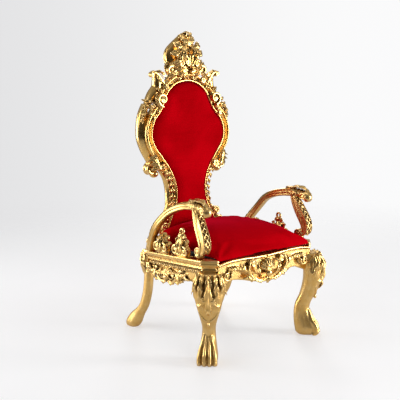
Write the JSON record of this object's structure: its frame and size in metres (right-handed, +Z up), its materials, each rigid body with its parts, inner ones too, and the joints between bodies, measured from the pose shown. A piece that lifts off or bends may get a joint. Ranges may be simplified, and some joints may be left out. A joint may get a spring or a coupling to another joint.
{
  "type": "throne",
  "caption": "Carved and gilded ceremonial armchair with a violin-shaped velvet back, a shell crest, scrolled open arms, cabriole paw legs and a crowned velvet seat.",
  "frame": {"origin": "centre of the whole part's footprint, on the floor", "axes": "+Z up, the sitter faces -Y, +X is the right-hand side as seen from in front; left nodes are on the -X side"},
  "size_m": [0.8436, 0.8239, 1.5768],
  "materials": {
    "leg_gold": "satin gilding over carved wood",
    "rail_gold": "burnished gilding over carved wood",
    "plain_gold": "plain gold size over wood",
    "frame_gold": "burnished gilding over carved wood",
    "arm_gold": "satin gilding over carved wood",
    "ornament_gold": "burnished gilding over carved wood",
    "seat_velvet": "cut velvet",
    "back_velvet": "cut velvet",
    "cover_velvet": "plain velvet on the rear of the back",
    "seat_board": "black lining cloth over webbing"
  },
  "bodies": {
    "root": {"front_leg_left": "leg_gold", "front_leg_right": "leg_gold", "rear_leg_left": "leg_gold", "rear_leg_right": "leg_gold", "front_rail": "rail_gold", "side_rail_left": "rail_gold", "side_rail_right": "rail_gold", "rear_rail": "plain_gold", "seat_board": "seat_board", "seat_cushion": "seat_velvet", "back_frame": "frame_gold", "back_pad": "back_velvet", "back_cover": "cover_velvet", "crest": "frame_gold", "arm_left": "arm_gold", "arm_right": "arm_gold", "arm_shell_left": "ornament_gold", "arm_shell_right": "ornament_gold", "arm_fleuron_left": "ornament_gold", "arm_fleuron_right": "ornament_gold"}
  },
  "joints": []
}
